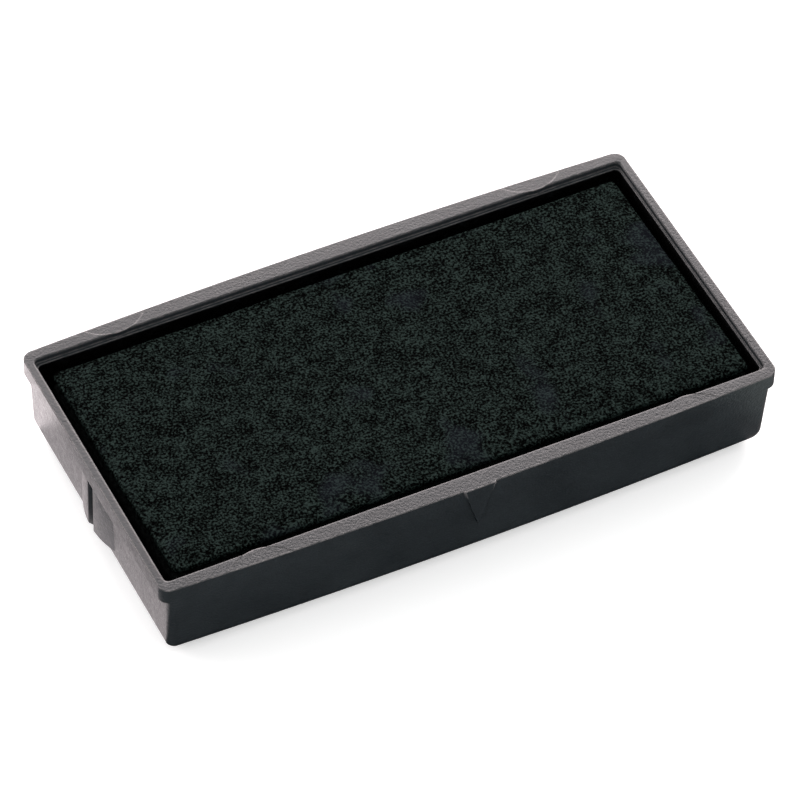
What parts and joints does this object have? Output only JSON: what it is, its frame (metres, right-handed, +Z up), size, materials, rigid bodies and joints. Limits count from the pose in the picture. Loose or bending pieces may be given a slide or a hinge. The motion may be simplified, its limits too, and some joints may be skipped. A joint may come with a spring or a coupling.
{
  "type": "ink pad",
  "caption": "Shallow black moulded tray with slide lips and snap bosses at its ends, holding a recessed rectangular block of inked felt under a napped inking layer.",
  "frame": {"origin": "middle of the tray's underside", "axes": "+X along the tray's length, +Z up out of the inking face, +Y across the tray"},
  "size_m": [0.057, 0.0299, 0.0092],
  "materials": {
    "tray": "moulded, softly sheened charcoal-black plastic",
    "adhesive": "thin double-sided adhesive film",
    "ink_felt": "dense felt soaked in black ink",
    "inking_layer": "fine napped cloth, wet with black ink, with a pale speckled grain"
  },
  "bodies": {
    "tray": {"tray": "tray", "pad_adhesive": "adhesive", "ink_felt": "ink_felt"},
    "inking_face": {"inking_layer": "inking_layer"}
  },
  "joints": [
    {"name": "pad_press", "type": "slide", "parent": "tray", "child": "inking_face", "axis": [0, 0, -1], "range_m": [0, 0.0005], "stiffness_N_per_m": 12000, "deforming": ["ink_felt"]}
  ]
}
